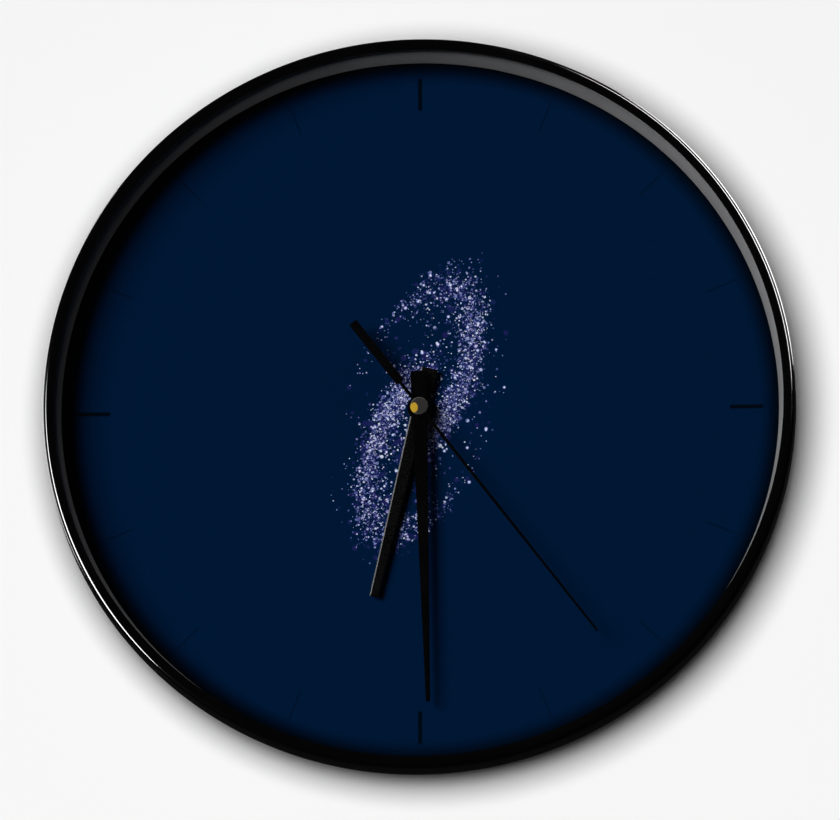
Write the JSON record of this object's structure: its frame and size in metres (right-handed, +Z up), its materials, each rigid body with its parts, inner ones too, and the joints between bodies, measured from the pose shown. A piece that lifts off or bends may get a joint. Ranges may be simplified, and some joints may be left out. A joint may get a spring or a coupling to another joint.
{
  "type": "wall clock",
  "caption": "Round analogue wall clock with a glossy black bezel, recessed navy dial under flat glass, black bar hands and a battery quartz movement.",
  "frame": {"origin": "on the wall plane, where the nail bears on the upper end of the hanger's slot, straight above the hand axis", "axes": "+Z up; +Y into the wall, so the dial faces -Y; +X to the right seen from the front"},
  "size_m": [0.3, 0.0377, 0.3],
  "materials": {
    "bezel_gloss": "glossy black moulded plastic",
    "lens_clear": "clear flat glass",
    "ring_matte": "matte dark grey plastic",
    "dial_navy": "matte navy printed sheet",
    "case_matte": "matte black plastic",
    "zinc_steel": "zinc-plated steel",
    "movement_plastic": "fine-textured black plastic",
    "battery_can": "plain printed steel can",
    "board_green": "green circuit board",
    "chip_black": "black moulded package",
    "core_iron": "bare soft iron sheet",
    "bobbin_white": "off-white plastic",
    "coil_copper": "enamelled copper wire",
    "magnet_dark": "dark sintered magnet",
    "wheel_nylon": "natural white plastic",
    "arbor_brass": "turned brass",
    "knob_grey": "matte grey plastic",
    "hand_black": "black painted sheet",
    "cap_gunmetal": "turned brass with a dark finish"
  },
  "bodies": {
    "case": {"front_bezel": "bezel_gloss", "lens": "lens_clear", "inner_ring": "ring_matte", "dial": "dial_navy", "back_case": "case_matte", "hanger_plate": "zinc_steel", "hanger_screw_left": "zinc_steel", "hanger_screw_right": "zinc_steel", "movement_base": "movement_plastic", "movement_cover": "movement_plastic", "battery_contact_positive": "zinc_steel", "battery_contact_negative": "zinc_steel", "circuit_board": "board_green", "quartz_crystal": "zinc_steel", "driver_chip": "chip_black", "coil_core": "core_iron", "coil_bobbin": "bobbin_white", "coil_winding": "coil_copper", "stator": "core_iron"},
    "seconds": {"seconds_wheel": "wheel_nylon", "second_hand": "hand_black", "second_hand_cap": "cap_gunmetal"},
    "intermediate": {"intermediate_wheel": "wheel_nylon"},
    "rotor": {"rotor": "magnet_dark"},
    "third": {"third_wheel": "wheel_nylon"},
    "centre": {"centre_wheel": "wheel_nylon"},
    "minute": {"minute_arbor": "arbor_brass", "minute_hand": "hand_black"},
    "motion": {"motion_wheel": "wheel_nylon"},
    "hour": {"hour_wheel": "wheel_nylon", "hour_hand": "hand_black"},
    "setting": {"setting_wheel": "wheel_nylon", "setting_knob": "knob_grey"},
    "battery": {"battery": "battery_can"}
  },
  "joints": [
    {"name": "second_hand_turn", "type": "hinge", "parent": "case", "child": "seconds", "pos_m": [0, -0.02, -0.098], "axis": [0, 1, 0], "continuous": true},
    {"name": "intermediate_turn", "type": "hinge", "parent": "case", "child": "intermediate", "pos_m": [0.0042, -0.02, -0.09072], "axis": [0, 1, 0], "continuous": true},
    {"name": "rotor_turn", "type": "hinge", "parent": "case", "child": "rotor", "pos_m": [0.01077, -0.02, -0.08833], "axis": [0, 1, 0], "continuous": true},
    {"name": "third_turn", "type": "hinge", "parent": "case", "child": "third", "pos_m": [-0.00735, -0.02, -0.09375], "axis": [0, 1, 0], "continuous": true},
    {"name": "centre_turn", "type": "hinge", "parent": "case", "child": "centre", "pos_m": [0, -0.02, -0.098], "axis": [0, 1, 0], "continuous": true},
    {"name": "minute_hand_turn", "type": "hinge", "parent": "case", "child": "minute", "pos_m": [0, -0.02, -0.098], "axis": [0, 1, 0], "continuous": true},
    {"name": "motion_turn", "type": "hinge", "parent": "case", "child": "motion", "pos_m": [0.00835, -0.02, -0.10024], "axis": [0, 1, 0], "continuous": true},
    {"name": "hour_hand_turn", "type": "hinge", "parent": "case", "child": "hour", "pos_m": [0, -0.02, -0.098], "axis": [0, 1, 0], "continuous": true},
    {"name": "setting_knob_turn", "type": "hinge", "parent": "case", "child": "setting", "pos_m": [0.01699, -0.02, -0.10024], "axis": [0, 1, 0], "continuous": true},
    {"name": "battery_removal", "type": "slide", "parent": "case", "child": "battery", "axis": [0, 1, 0], "range_m": [0, 0.03]}
  ],
  "couplings": [
    {"joint": "intermediate_turn", "follows": "second_hand_turn", "ratio": -5},
    {"joint": "rotor_turn", "follows": "second_hand_turn", "ratio": 30},
    {"joint": "third_turn", "follows": "second_hand_turn", "ratio": -0.13333},
    {"joint": "centre_turn", "follows": "second_hand_turn", "ratio": 0.016667},
    {"joint": "motion_turn", "follows": "minute_hand_turn", "ratio": -0.33333},
    {"joint": "hour_hand_turn", "follows": "minute_hand_turn", "ratio": 0.083333},
    {"joint": "setting_knob_turn", "follows": "minute_hand_turn", "ratio": 1}
  ]
}
